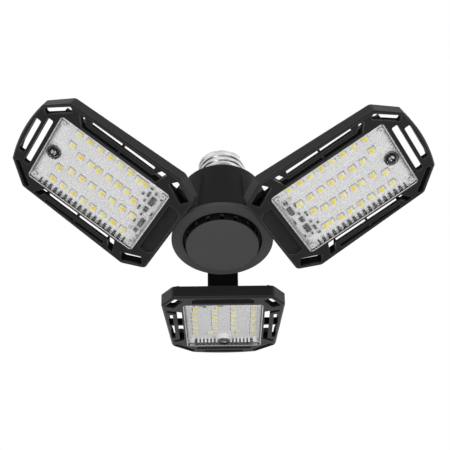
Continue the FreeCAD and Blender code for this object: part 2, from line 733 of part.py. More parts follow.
def hinge_boss():
    """The raised arch around one hinge pocket, a little proud of the cone."""
    arch = arch_prism(boss_half, boss_shoulder_height, boss_top_height,
                      pocket_inner_radius, ring_radius + 1, ring_thickness)
    foot, top = housing_foot_radius + boss_rise, housing_top_radius + boss_rise
    return arch.common(revolve([(0, ring_top_z), (foot, ring_top_z), (top, 0), (0, 0)]))


def make_housing():
    foot, top = housing_foot_radius, housing_top_radius
    outer = revolve([(0, ring_top_z), (foot, ring_top_z), (top, 0), (0, 0)])
    rim = [e for e in outer.Edges if abs(e.CenterOfMass.z) < 1e-6 and e.Length > 6 * top]
    outer = outer.makeFillet(housing_edge_round, rim)
    cavity_top = -housing_top_thickness
    cavity = revolve([(0, ring_top_z - 1), (foot - housing_wall, ring_top_z - 1),
                      (foot - housing_wall, ring_top_z),
                      (cone_radius(hub_height - housing_top_thickness, foot, top) - housing_wall,
                       cavity_top), (0, cavity_top)])
    bosses, linings, pockets, bores = [], [], [], []
    for azimuth in hinge_azimuths.values():
        bosses.append(at_azimuth(hinge_boss(), azimuth))
        lining = arch_prism(boss_half, boss_shoulder_height, boss_top_height, pocket_inner_radius,
                            ring_radius, ring_thickness + cap_flange_thickness + lining_gap)
        linings.append(at_azimuth(lining, azimuth))
        pocket = arch_prism(slot_half, pocket_shoulder_height, pocket_top_height,
                            pocket_back_radius, ring_radius + 1, 0)
        pockets.append(at_azimuth(pocket, azimuth))
        bore = cylinder(pivot_radius, 2 * pivot_end, (hinge_radius, -pivot_end, hinge_z), (0, 1, 0))
        throat = box((hinge_radius - cradle_throat / 2, -pivot_end, ring_z),
                     (hinge_radius + cradle_throat / 2, pivot_end, hinge_z))
        lead_way = cylinder(lead_radius + lead_hole_gap, hinge_radius - pocket_inner_radius + 1,
                            (pocket_inner_radius - 1, lead_ear_v, hinge_z), (1, 0, 0))
        bores += [at_azimuth(cut, azimuth) for cut in (bore, throat, lead_way)]
    neck = cylinder(neck_radius, neck_length, (0, 0, -0.5))
    posts = []
    for azimuth in hinge_azimuths.values():
        post = cylinder(junction_post_radius, board_drop - housing_top_thickness + 0.3,
                        (junction_post_circle, 0, board_top_z))
        posts.append(at_azimuth(post, azimuth))
    shell = fuse([outer] + bosses).cut(cavity.cut(fuse(linings)))
    housing = fuse([shell, neck] + posts).cut(fuse(pockets))
    holes = bores + [cylinder(neck_radius - neck_wall, neck_length + 10, (0, 0, -6))]
    for azimuth in hinge_azimuths.values():
        hole = cylinder(small_screw_radius, small_screw_length,
                        (junction_post_circle, 0, board_top_z))
        holes.append(at_azimuth(hole, azimuth))
    for hole in holes:
        housing = housing.cut(hole)
    return housing


def make_ring():
    ledge_radius = ring_hole_radius - cap_ledge
    land_z = ring_z - ring_cone_drop * ring_edge_land / (ring_radius - ring_hole_radius)
    ring = revolve([(ring_hole_radius, ring_z - ring_cone_drop),
                    (ring_radius - ring_edge_land, land_z),
                    (ring_radius, ring_z + ring_edge_drop), (ring_radius, ring_top_z),
                    (ledge_radius, ring_top_z), (ledge_radius, ring_z + cap_ledge),
                    (ring_hole_radius, ring_z)])
    outer = housing_foot_radius - housing_wall - ring_sleeve_gap
    inner = outer - ring_sleeve_wall
    top_z = ring_top_z + ring_sleeve_height
    sleeves = []
    for azimuth in hinge_azimuths.values():
        profile = Part.makePolygon([Vector(r, 0, z) for r, z in (
            (inner, ring_top_z - bite), (outer, ring_top_z - bite),
            (outer - ring_sleeve_taper, top_z), (inner, top_z), (inner, ring_top_z - bite))])
        sleeve = Part.Face(profile).revolve(Vector(0, 0, 0), Z_AXIS, ring_sleeve_angle)
        sleeves.append(at_azimuth(sleeve, azimuth + 60 - ring_sleeve_angle / 2))
    depth = cap_screw_hold + screw_tip_gap / 2
    holes = [at_azimuth(cylinder(cap_screw_radius, depth, (cap_screw_circle, 0, ring_top_z - depth)),
                        azimuth + 60) for azimuth in hinge_azimuths.values()]
    return fuse([ring] + sleeves).cut(fuse(holes))


def make_cap():
    flange_top = ring_top_z + cap_flange_thickness
    skirt = cap_radius - cap_thickness
    cap = revolve([(0, cap_face_z), (cap_radius, cap_face_z), (cap_radius, ring_top_z),
                   (cap_flange_radius, ring_top_z), (cap_flange_radius, flange_top),
                   (skirt, flange_top), (skirt, cap_face_z + cap_thickness),
                   (0, cap_face_z + cap_thickness)])
    rim = [e for e in cap.Edges
           if abs(e.CenterOfMass.z - cap_face_z) < 1e-6 and e.Length > 6 * cap_radius]
    cap = cap.makeFillet(cap_edge_round, rim)
    cuts = []
    vent_z = cap_face_z + cap_vent_rise + cap_vent_height / 2
    for i in range(cap_vent_count):
        slot = box((skirt - 1, -cap_vent_width / 2, vent_z - cap_vent_height / 2),
                   (cap_radius + 1, cap_vent_width / 2, vent_z + cap_vent_height / 2))
        upright = [e for e in slot.Edges if abs(e.Vertexes[0].Point.x - e.Vertexes[1].Point.x) > 1]
        slot = slot.makeFillet(cap_vent_width * 0.45, upright)
        cuts.append(at_azimuth(slot, 270 + i * 360 / cap_vent_count))
    for azimuth in hinge_azimuths.values():
        hole = cylinder(cap_screw_radius + cap_screw_hole_gap, 2 * cap_flange_thickness,
                        (cap_screw_circle, 0, ring_top_z - bite))
        cuts.append(at_azimuth(hole, azimuth + 60))
    for cut in cuts:
        cap = cap.cut(cut)
    return cap


def make_cap_screws():
    screws = []
    for azimuth in hinge_azimuths.values():
        screw = cross_screw((cap_screw_circle, 0, ring_top_z + cap_flange_thickness), (0, 0, -1),
                            cap_flange_thickness + cap_screw_hold, cap_screw_radius,
                            cap_screw_head_radius, cap_screw_head_thickness)
        screws.append(at_azimuth(screw, azimuth + 60))
    return Part.makeCompound(screws)


def make_junction_board():
    board = cylinder(junction_radius, junction_thickness, (0, 0, board_top_z - junction_thickness))
    holes = [at_azimuth(cylinder(small_screw_radius + screw_hole_gap, 20,
                                 (junction_post_circle, 0, board_top_z - 10)), azimuth)
             for azimuth in hinge_azimuths.values()]
    return board.cut(fuse(holes))


def make_junction_parts():
    """Terminal block, fuse and capacitor, on the side that faces the screw base."""
    t, f, c = terminal_block, thermal_fuse, surge_capacitor
    block = box((-t["length"] / 2, t["y"] - t["width"] / 2, board_top_z),
                (t["length"] / 2, t["y"] + t["width"] / 2, board_top_z + t["height"]))
    for place in (-1, 0, 1):
        block = block.cut(cylinder(t["well_radius"], t["well_depth"] + 1,
                                   (place * t["well_pitch"], t["y"],
                                    board_top_z + t["height"] - t["well_depth"])))
    fuse_body = cylinder(f["radius"], f["length"], (f["x"], f["y"], board_top_z + f["radius"]),
                         (1, 0, 0))
    capacitor = cylinder(c["radius"], c["height"], (c["x"], c["y"], board_top_z))
    return Part.makeCompound([block, fuse_body, capacitor])


def make_junction_screws():
    screws = []
    for azimuth in hinge_azimuths.values():
        screw = cross_screw((junction_post_circle, 0, board_top_z - junction_thickness), (0, 0, 1),
                            junction_thickness + small_screw_length - screw_tip_gap)
        screws.append(at_azimuth(screw, azimuth))
    return Part.makeCompound(screws)


def make_base_leads():
    x, wall_x = base_lead_x, -(shell_bore_radius - lead_radius - bite)
    to_contact = [(x, contact_lead_y, board_top_z), (x, contact_lead_y, board_top_z + 8),
                  (0, 0, board_top_z + 20), (0, 0, shell_length)]
    to_shell = [(x, shell_lead_y, board_top_z), (x, shell_lead_y, board_top_z + 7),
                (x, 2.0, board_top_z + 17), (x, 0.0, neck_length - 6),
                (x, 0.0, neck_length + 2.4), (wall_x, 0.0, neck_length + 2.4)]
    return Part.makeCompound([lead_tube(to_contact), lead_tube(to_shell)])


def make_screw_shell():
    """Threaded shell: a sleeve with one round ridge wound up it."""
    low = shell_foot_clearance
    collar_top = low + shell_collar_height
    sleeve = revolve([(shell_bore_radius, low), (shell_collar_radius, low),
                      (shell_collar_radius, collar_top),
                      (thread_root_radius, collar_top + shell_collar_slope),
                      (thread_root_radius, shell_length - shell_lip_run),
                      (thread_root_radius - shell_lip, shell_length), (shell_lip_radius, shell_length),
                      (shell_lip_radius, shell_length - shell_lip_thickness),
                      (shell_bore_radius, shell_length - shell_lip_run)])
    height = thread_pitch * thread_turns
    start_z = shell_length - thread_end_margin - height
    helix = Part.makeHelix(thread_pitch, height, thread_root_radius)
    helix.translate(Vector(0, 0, start_z))
    half = thread_pitch * thread_ridge_share
    inside = thread_root_radius - 5 * bite
    ridge = Part.Wire([
        Part.LineSegment(Vector(inside, 0, start_z + half), Vector(inside, 0, start_z - half)).toShape(),
        Part.Arc(Vector(inside, 0, start_z - half), Vector(thread_crest_radius, 0, start_z),
                 Vector(inside, 0, start_z + half)).toShape()])
    thread = Part.Wire(helix).makePipeShell([ridge], True, True)
    return sleeve.fuse(thread).removeSplitter()


def make_insulator():
    rim_radius = shell_lip_radius + shell_lip * 2 / 3
    top = shell_length + insulator_height
    return revolve([(insulator_bore_radius, shell_length - shell_lip_thickness - insulator_seat),
                    (rim_radius, shell_length - shell_lip_thickness - insulator_seat),
                    (rim_radius, shell_length - shell_lip_run),
                    (shell_lip_radius - bite, shell_length - shell_lip_thickness - 2 * bite),
                    (shell_lip_radius - bite, shell_length),
                    (insulator_top_radius, top), (insulator_bore_radius, top)])


def make_contact():
    low = shell_length + insulator_height
    shank = insulator_bore_radius - contact_shank_gap
    return revolve([(0, low - contact_shank_length), (shank, low - contact_shank_length), (shank, low),
                    (contact_radius, low), (contact_radius, low + contact_rim_height),
                    (contact_radius - contact_bevel, low + contact_height), (0, low + contact_height)])


hub_makers = {
    "screw_shell": make_screw_shell,
    "shell_insulator": make_insulator,
    "centre_contact": make_contact,
    "hub_housing": make_housing,
    "hub_ring": make_ring,
    "hub_cap": make_cap,
    "cap_screws": make_cap_screws,
    "junction_board": make_junction_board,
    "junction_parts": make_junction_parts,
    "junction_screws": make_junction_screws,
    "base_leads": make_base_leads,
}
hinge_makers = {
    "hinge_pin": make_hinge_pin,
    "hinge_bush": make_hinge_bush,
    "hinge_washers": make_hinge_washers,
    "hub_lead": make_hub_lead,
}
panel_makers = {
    "frame": make_frame,
    "heat_sink": make_heat_sink,
    "back_screws": make_back_screws,
    "led_board": make_led_board,
    "led_chips": make_led_chips,
    "driver_parts": make_driver_parts,
    "lens": make_lens,
    "lens_screw": make_lens_screw,
    "hinge_arm": make_hinge_arm,
    "arm_screws": make_arm_screws,
    "panel_lead": make_panel_lead,
}


def write(name, shape):
    shape.exportStep(os.path.join("parts", name + ".step"))
    solids = shape.Solids
    print(name, len(solids), "solids", round(sum(s.Volume for s in solids), 1), "mm3",
          "valid" if shape.isValid() else "NOT VALID")


def main():
    os.makedirs("parts", exist_ok=True)
    for name, make in hub_makers.items():
        write(name, make())
    for name, make in hinge_makers.items():
        piece = make()
        for side, azimuth in hinge_azimuths.items():
            write(side + "_" + name, at_azimuth(piece, azimuth))
    for name, make in panel_makers.items():
        piece = make()
        for side in hinge_azimuths:
            write(side + "_" + name, place_on_hinge(piece, side))


main()
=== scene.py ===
import math
import bmesh
import bpy
from mathutils import Matrix, Vector


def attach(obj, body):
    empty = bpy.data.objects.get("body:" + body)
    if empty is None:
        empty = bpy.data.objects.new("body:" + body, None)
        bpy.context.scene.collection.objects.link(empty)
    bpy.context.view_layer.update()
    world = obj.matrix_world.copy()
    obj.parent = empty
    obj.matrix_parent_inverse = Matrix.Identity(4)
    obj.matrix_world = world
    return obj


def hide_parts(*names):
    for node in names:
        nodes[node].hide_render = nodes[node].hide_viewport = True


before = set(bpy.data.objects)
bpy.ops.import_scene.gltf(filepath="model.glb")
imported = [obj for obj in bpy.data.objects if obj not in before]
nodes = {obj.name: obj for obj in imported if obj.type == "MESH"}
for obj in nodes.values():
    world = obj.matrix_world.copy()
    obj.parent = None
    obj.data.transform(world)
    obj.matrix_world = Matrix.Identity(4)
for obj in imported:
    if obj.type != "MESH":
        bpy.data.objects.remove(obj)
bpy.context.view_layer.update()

mm = 0.001

hinge = {"radius": 19.5, "height": -27.7, "inset": -3.18, "depth": 23.12}
panels = {
    "left": {"azimuth": 210.0, "tilt": 23.0},
    "right": {"azimuth": 330.0, "tilt": 17.2},
    "rear": {"azimuth": 90.0, "tilt": 18.9},
}


def panelPlace(side):
    turn = Matrix.Rotation(math.radians(panels[side]["azimuth"]), 4, "Z")
    lift = Matrix.Rotation(math.radians(-panels[side]["tilt"]), 4, "Y")
    return (turn @ Matrix.Translation(Vector((hinge["radius"], 0, hinge["height"])) * mm) @ lift
            @ Matrix.Translation(Vector((-hinge["inset"], 0, -hinge["depth"])) * mm))


class Wire:
    # wraps a shader socket, so that sums and products of sockets add their Math nodes
    def __init__(self, tree, socket=None):
        self.tree = tree
        self.socket = socket

    def node(self, kind, settings=None, inputs=None, out=0):
        made = self.tree.nodes.new(kind)
        for key, value in (settings or {}).items():
            setattr(made, key, value)
        for key, value in (inputs or {}).items():
            if isinstance(value, Wire):
                self.tree.links.new(value.socket, made.inputs[key])
            else:
                made.inputs[key].default_value = value
        return Wire(self.tree, made.outputs[out] if made.outputs else None)

    def maths(self, operation, *values):
        return self.node("ShaderNodeMath", {"operation": operation}, dict(enumerate(values)))

    def __add__(self, other): return self.maths("ADD", self, other)
    def __radd__(self, other): return self.maths("ADD", other, self)
    def __sub__(self, other): return self.maths("SUBTRACT", self, other)
    def __rsub__(self, other): return self.maths("SUBTRACT", other, self)
    def __mul__(self, other): return self.maths("MULTIPLY", self, other)
    def __truediv__(self, other): return self.maths("DIVIDE", self, other)
    def __gt__(self, other): return self.maths("GREATER_THAN", self, other)
    def __lt__(self, other): return self.maths("LESS_THAN", self, other)
    def __abs__(self): return self.maths("ABSOLUTE", self)
    def orMore(self, other): return self.maths("MAXIMUM", self, other)

    def ramp(self, low, high):
        return self.node("ShaderNodeMapRange", {"clamp": True},
                         {"Value": self, "From Min": low, "From Max": high})

    def clamped(self):
        return self.node("ShaderNodeClamp", {}, {"Value": self})

    def ridges(self, pitch):
        # 1 at whole pitches, 0 midway between them
        return abs(self.maths("FRACT", self / pitch) - 0.5) * 2

    def noise(self, scale, detail=2.0, roughness=0.5):
        return self.node("ShaderNodeTexNoise", {}, {"Vector": self, "Scale": scale,
                                                    "Detail": detail, "Roughness": roughness})

    def stretched(self, scale, location=(0, 0, 0), turn=(0, 0, 0)):
        return self.node("ShaderNodeMapping", {}, {"Vector": self, "Scale": scale,
                                                   "Location": location, "Rotation": turn})

    def axes(self):
        split = self.tree.nodes.new("ShaderNodeSeparateXYZ")
        self.tree.links.new(self.socket, split.inputs[0])
        return [Wire(self.tree, socket) for socket in split.outputs]

    def flattened(self):
        # the same place with its third coordinate at zero
        return self.node("ShaderNodeVectorMath", {"operation": "MULTIPLY"}, {0: self, 1: (1, 1, 0)})

    def distance(self, point):
        return self.node("ShaderNodeVectorMath", {"operation": "DISTANCE"},
                         {0: self, 1: point}, out=1)

    def tint(self, first, second):
        # mixes two colours, each of them a socket or three numbers
        ends = [colour if isinstance(colour, Wire) else (*colour, 1) for colour in (first, second)]
        return self.node("ShaderNodeMix", {"data_type": "RGBA"},
                         {0: self, 6: ends[0], 7: ends[1]}, out=2)


def highlightedEdges(wire, width, low, high):
    # painted highlight: 0 on flat faces, 1 on the edges that catch the light
    softened = wire.node("ShaderNodeBevel", {"samples": 6}, {"Radius": width * mm})
    true = wire.node("ShaderNodeNewGeometry", out="True Normal")
    apart = wire.node("ShaderNodeVectorMath", {"operation": "DOT_PRODUCT"}, {0: softened, 1: true},
                      out=1)
    return (1 - apart).ramp(low, high)


def newMaterial(name):
    material = bpy.data.materials.new(name)
    material.use_nodes = True
    material.node_tree.nodes.clear()
    return material, Wire(material.node_tree)


def millimetres(wire, side=None):
    # object coordinates in mm, turned flat for a panel
    here = wire.node("ShaderNodeTexCoord", out="Object")
    if side is None:
        return here.stretched((1 / mm,) * 3)
    back = panelPlace(side).inverted()
    return here.stretched((1 / mm,) * 3, back.translation / mm, back.to_euler("XYZ"))


def bumped(wire, height, depth, soften):
    # height is in units of depth millimetres; soften rounds the edges that the light catches
    inputs = {"Height": height, "Strength": 1.0, "Distance": depth * mm}
    if soften:
        inputs["Normal"] = wire.node("ShaderNodeBevel", {"samples": 4}, {"Radius": soften * mm})
    return wire.node("ShaderNodeBump", {}, inputs)


def finishMaterial(wire, height, depth, soften=0.0, **inputs):
    made = {key.replace("_", " "): value for key, value in inputs.items()}
    made["Normal"] = bumped(wire, height, depth, soften)
    shader = wire.node("ShaderNodeBsdfPrincipled", {}, made)
    wire.node("ShaderNodeOutputMaterial", {}, {"Surface": shader})


moulded = {"cloud": (0.06, 3.0), "spark": (2.6, 3.0, 0.65), "scuffStretch": (0.35, 5.0, 1.0),
           "scuff": (0.9, 4.0, 0.7), "scuffFrom": (0.56, 0.75), "scuffHeight": 0.4,
           "sheen": {"cloud": 0.12, "spark": 0.1, "scuff": 0.05}, "depth": 0.03, "soften": 0.25}


def mouldedGrain(place):
    # broad clouds, fine sparks and short scuffs
    scuff = place.stretched(moulded["scuffStretch"]).noise(*moulded["scuff"])
    return (place.noise(*moulded["cloud"]), place.noise(*moulded["spark"]),
            scuff.ramp(*moulded["scuffFrom"]))


def mouldedSheen(gloss, cloud, spark, scuff):
    share = moulded["sheen"]
    return (gloss + (cloud - 0.5) * share["cloud"] + (spark - 0.5) * share["spark"]
            - scuff * share["scuff"])


def makeMouldedPlastic(name, dark, light, gloss, specular):
    material, wire = newMaterial(name)
    cloud, spark, scuff = mouldedGrain(millimetres(wire))
    finishMaterial(wire, spark + scuff * moulded["scuffHeight"], moulded["depth"],
                   moulded["soften"], Base_Color=(cloud * 0.7 + scuff * 0.3).tint(dark, light),
                   Roughness=mouldedSheen(gloss, cloud, spark, scuff),
                   Specular_IOR_Level=specular)
    return material


# one half of the frame's outline, from the hub side along its long edge to the outer end
frameEdge = [(0.0, 26.9), (11.6, 33.8), (76.3, 31.0), (87.8, 19.4), (89.0, 12.0), (90.0, 0.0)]
frameFinish = {"dark": (0.010, 0.010, 0.0105), "light": (0.018, 0.018, 0.0185), "gloss": 0.44,
               "specular": 0.2}
# painted shade: the near-black colour and dull finish laid on the frame's recess walls, below the
# face
recessShade = {"inset": 0.7, "depth": (0.9, 1.7), "colour": (0.0025, 0.0025, 0.0025),
          "roughness": 0.8, "specular": 0.05}
pad = {"u": (1.4, 9.0), "half": 17.0, "stretch": (3.2, 0.16, 1.0), "grain": (1.0, 3.0, 0.6),
       "height": 1.5, "paleFrom": (0.45, 0.75), "pale": 0.2}
# painted highlight: a paler colour along the frame's edges, where the light catches them
edgeHighlight = {"width": 0.45, "from": (0.01, 0.1), "strength": 0.8, "colour": (0.10, 0.10, 0.102)}


def beyondOutline(u, v, points):
    # how far a place lies outside the outline and its mirrored half; negative inside
    outside = 0.0 - u
    for (u1, v1), (u2, v2) in zip(points, points[1:]):
        length = math.hypot(u2 - u1, v2 - v1)
        alongU, alongV = (v1 - v2) / length, (u2 - u1) / length
        outside = outside.orMore(u * alongU + abs(v) * alongV - (u1 * alongU + v1 * alongV))
    return outside


def makeFramePlastic(side):
    # satin face, with streaks in the pad; the recess walls behind it are painted near-black as
    # shade, since they take little light
    material, wire = newMaterial("frame plastic " + side)
    place = millimetres(wire, side)
    u, v, w = place.axes()
    cloud, spark, scuff = mouldedGrain(place)
    onPad = (u > pad["u"][0]) * (u < pad["u"][1]) * (abs(v) < pad["half"])
    streaks = place.stretched(pad["stretch"]).noise(*pad["grain"]) * onPad
    # painted shade: inside the outline and deeper than the face, the walls take the near-black
    # shade finish
    shadedWalls = (beyondOutline(u, v, frameEdge) < -recessShade["inset"]) * w.ramp(*recessShade["depth"])
    height = spark + scuff * moulded["scuffHeight"] + streaks * pad["height"]
    colour = (cloud * 0.6 + scuff * 0.25 + streaks * 0.9).tint(frameFinish["dark"],
                                                             frameFinish["light"])
    # painted highlight along the edges, plus paler streaks in the pad, both towards the paler edge
    # colour
    worn = (highlightedEdges(wire, edgeHighlight["width"], *edgeHighlight["from"]) * edgeHighlight["strength"]
            + streaks.ramp(*pad["paleFrom"]) * pad["pale"])
    satin = wire.node("ShaderNodeBsdfPrincipled", {}, {
        "Base Color": worn.tint(colour, edgeHighlight["colour"]),
        "Normal": bumped(wire, height, moulded["depth"], moulded["soften"]),
        "Specular IOR Level": frameFinish["specular"],
        "Roughness": mouldedSheen(frameFinish["gloss"], cloud, spark, scuff)})
    paintedShade = wire.node("ShaderNodeBsdfPrincipled", {}, {
        "Base Color": (*recessShade["colour"], 1), "Roughness": recessShade["roughness"],
        "Specular IOR Level": recessShade["specular"]})
    both = wire.node("ShaderNodeMixShader", {}, {0: shadedWalls, 1: satin, 2: paintedShade})
    wire.node("ShaderNodeOutputMaterial", {}, {"Surface": both})
    return material


# painted shade in the groove between ring and cap: its near-black colour, how much of it covers the
# plastic, and where it goes
groove = {"colour": (0.001, 0.001, 0.001), "share": 0.92, "specular": 0.25,
          "ring": {"radii": (20.0, 20.75), "heights": (-40.0, -34.9)},
          "cap": {"radii": (18.6, 23.0), "heights": (-38.9, -30.0)}}


def makeGroovePlastic(name, dark, light, gloss, zone):
    # satin plastic with painted shade: near-black where it lines the groove between ring and cap
    material, wire = newMaterial(name)
    place = millimetres(wire)
    z = place.axes()[2]
    fromAxis = place.flattened().distance((0, 0, 0))
    (inner, outer), (low, high) = zone["radii"], zone["heights"]
    shadedGroove = (fromAxis > inner) * (fromAxis < outer) * (z > low) * (z < high)
    cloud, spark, scuff = mouldedGrain(place)
    colour = (cloud * 0.4 + scuff * 0.3 + spark.ramp(0.3, 0.7) * 0.5).tint(dark, light)
    finishMaterial(wire, spark + scuff * moulded["scuffHeight"], moulded["depth"],
                   moulded["soften"], Base_Color=(shadedGroove * groove["share"]).tint(
                       colour, groove["colour"]),
                   Roughness=mouldedSheen(gloss, cloud, spark, scuff),
                   Specular_IOR_Level=groove["specular"])
    return material


metal = {"brush": (1.6, 4.0, 0.6), "cloud": (0.15, 2.0), "cloudShare": 0.6, "brushShare": 0.4,
         "wornFrom": (0.35, 0.7), "soften": 0.1, "sheen": 0.15}
pitted = {"pits": (3.0, 3.0, 0.6), "wornFrom": (0.45, 0.75), "depth": 0.015, "soften": 0.08,
          "metallic": 0.8, "sheen": 0.2}
smooth = {"detail": (3.0, 0.6), "otherFrom": (0.3, 0.7), "sheen": 0.15}


def makeMetal(name, colour, worn, roughness, streak=(1, 1, 1), grain=0.01):
    material, wire = newMaterial(name)
    place = millimetres(wire)
    brush = place.stretched(streak).noise(*metal["brush"])
    wear = place.noise(*metal["cloud"]) * metal["cloudShare"] + brush * metal["brushShare"]
    finishMaterial(wire, brush, grain, metal["soften"], Metallic=1.0,
                   Base_Color=wear.ramp(*metal["wornFrom"]).tint(colour, worn),
                   Roughness=roughness + (brush - 0.5) * metal["sheen"])
    return material


def makeScrewFinish(name, colour, worn, roughness):
    material, wire = newMaterial(name)
    pits = millimetres(wire).noise(*pitted["pits"])
    finishMaterial(wire, pits, pitted["depth"], pitted["soften"], Metallic=pitted["metallic"],
                   Base_Color=pits.ramp(*pitted["wornFrom"]).tint(colour, worn),
                   Roughness=roughness + (pits - 0.5) * pitted["sheen"])
    return material


def makeSmoothPart(name, colour, other, roughness, scale=1.5, grain=0.01, **inputs):
    material, wire = newMaterial(name)
    mottle = millimetres(wire).noise(scale, *smooth["detail"])
    finishMaterial(wire, mottle, grain,
                   Base_Color=mottle.ramp(*smooth["otherFrom"]).tint(colour, other),
                   Roughness=roughness + (mottle - 0.5) * smooth["sheen"], **inputs)
    return material


lens = {"u": (11.25, 76.55), "half": 21.95, "front": 0.3, "plateBack": 1.2, "margin": 1.5,
        "prismU": 3.1, "prismV": 2.17, "prismDepth": 0.3, "prismGap": 0.02, "skirt": 1.0,
        "border": (-0.75, -0.25), "behindGap": 0.1, "skirtGap": 0.05,
        "ribPitch": 3.1, "ribShare": 0.42, "ribMargin": 6.0,
        "screw": (71.2, 0.0), "screwClear": 5.2, "well": (2.45, 3.75), "post": (0.65, 1.5),
        "posts": [(13.95, 18.8), (13.95, -18.8), (73.85, 18.8), (73.85, -18.8)],
        "postClear": {"v": 17.0, "u": (16.0, 71.5)}}
lensAlpha = {"plate": 0.01, "fleck": 0.42, "seams": 0.13, "inside": 0.02, "border": 0.5,
             "frosted": 0.95, "side": 0.9, "rings": 0.45, "well": 0.9}
lensTone = {"dark": (0.02, 0.02, 0.02), "bright": (0.95, 0.95, 0.95), "least": 0.3, "shade": 0.7,
            "cores": 0.5, "well": 2, "betweenRibs": 3, "specular": 0.25, "roughness": 0.2,
            "frosted": 0.3, "fleck": 0.1, "depth": 0.03}
lensMiddle = sum(lens["u"]) / 2
lensReach = lens["u"][1] - lensMiddle
screwHead = {"rim": 1.55, "rimTone": (0.004, 0.004, 0.004), "dark": (0.03, 0.03, 0.03),
             "bright": (0.95, 0.95, 0.95), "pits": 1.3, "brightFrom": (0.44, 0.6), "depth": 0.04,
             "soften": 0.08, "metallic": 0.3, "specular": 0.3, "roughness": 0.35, "sheen": 0.2}
mask = {"colour": (0.97, 0.97, 0.97), "shade": (0.66, 0.66, 0.665), "fleck": 1.5,
        "fleckFrom": (0.36, 0.62), "fleckShare": 0.6, "lines": 1.05, "linesFrom": (0.2, 0.9),
        "linesShare": 0.2, "glowFrom": (-6.0, 0.0), "glowShare": 0.3, "depth": 0.01,
        "roughness": 0.35, "sheen": 0.2}


def makeLensScrew(side):
    # black rim, and a pitted middle with painted glints, as the lens's well breaks it up
    material, wire = newMaterial("lens screw " + side)
    place = millimetres(wire, side)
    rim = place.flattened().distance((*lens["screw"], 0)) > screwHead["rim"]
    pits = place.noise(screwHead["pits"])
    # painted glints: pale flecks over the dark middle of the head
    middle = pits.ramp(*screwHead["brightFrom"]).tint(screwHead["dark"], screwHead["bright"])
    finishMaterial(wire, pits, screwHead["depth"], screwHead["soften"],
                   Base_Color=rim.tint(middle, screwHead["rimTone"]),
                   Metallic=screwHead["metallic"], Specular_IOR_Level=screwHead["specular"],
                   Roughness=screwHead["roughness"] + (pits - 0.5) * screwHead["sheen"])
    return material


def makeBoardMask(side):
    # white solder mask with a fine fleck, and fine lines where the lens's ribs shade it
    material, wire = newMaterial("board mask " + side)
    place = millimetres(wire, side)
    u, v = place.axes()[:2]
    lines = v.ridges(mask["lines"]).ramp(*mask["linesFrom"])
    speckle = place.noise(mask["fleck"]).ramp(*mask["fleckFrom"])
    edge = (abs(u - lensMiddle) - lensReach).orMore(abs(v) - lens["half"])
    glow = edge.ramp(*mask["glowFrom"])     # light that the lens's skirt throws onto the rim
    pale = speckle * mask["fleckShare"] + lines * mask["linesShare"] + glow * mask["glowShare"]
    finishMaterial(wire, speckle, mask["depth"],
                   Base_Color=pale.tint(mask["shade"], mask["colour"]),
                   Roughness=mask["roughness"] + (speckle - 0.5) * mask["sheen"])
    return material


def makeClearLens(side):
    # clear plate with a quilt of prisms; the skirt, ribs and posts behind it are frosted
    material, wire = newMaterial("clear lens " + side)
    place = millimetres(wire, side)
    u, v, w = place.axes()
    seams = u.ridges(lens["prismU"]).ramp(0.7, 1.0).orMore(v.ridges(lens["prismV"]).ramp(0.7, 1.0))
    fleck = place.noise(1.7)
    shade = place.stretched((1, 1, 1), (40, 20, 0)).noise(1.5)     # moved away from the fleck
    fromEdgeU = abs(u - lensMiddle) - lensReach
    fromEdgeV = abs(v) - lens["half"]
    edge = fromEdgeU.orMore(fromEdgeV)
    front = w < lens["front"]
    behind = w > lens["plateBack"] + lens["prismDepth"] + lens["behindGap"]
    skirtFace = -lens["skirt"] - lens["skirtGap"]
    border = edge.ramp(*lens["border"]) * front
    frosted = behind * (edge < skirtFace)
    onSide = behind * (fromEdgeV > skirtFace)
    betweenRibs = (onSide * ((u - lensMiddle).ridges(lens["ribPitch"]) < 1 - lens["ribShare"])
                   * (fromEdgeU < -lens["ribMargin"]))
    flat = place.flattened()
    fromScrew = flat.distance((*lens["screw"], 0))
    # painted shade: a ring round the screw's well is made nearly opaque and dark, as the gap there
    # lies in shadow
    well = (fromScrew > lens["well"][0]) * (fromScrew < lens["well"][1]) * fleck.ramp(0.34, 0.5)
    rings = 0.0
    cores = 0.0
    for post in lens["posts"]:
        fromPost = flat.distance((*post, 0))
        rings = (fromPost < lens["post"][1]) + rings
        cores = (fromPost < lens["post"][0]) + cores
    share, tone = lensAlpha, lensTone
    plate = (front * (share["plate"] + fleck.ramp(0.55, 0.64) * share["fleck"]
                      + seams * share["seams"]) + (1 - front) * share["inside"])
    alpha = (plate + border * share["border"] + frosted * share["frosted"]
             + onSide * share["side"] + rings * front * share["rings"] + well * share["well"])
    bright = (shade.ramp(0.42, 0.5) * tone["shade"] + tone["least"] + border + frosted + onSide
              - cores * tone["cores"] - well * tone["well"] - betweenRibs * tone["betweenRibs"])
    finishMaterial(wire, seams + fleck, tone["depth"], Alpha=alpha.clamped(),
                   Specular_IOR_Level=tone["specular"],
                   Base_Color=bright.clamped().tint(tone["dark"], tone["bright"]),
                   Roughness=tone["roughness"] + frosted * tone["frosted"] + fleck * tone["fleck"])
    return material


framePlastic = {side: makeFramePlastic(side) for side in panels}
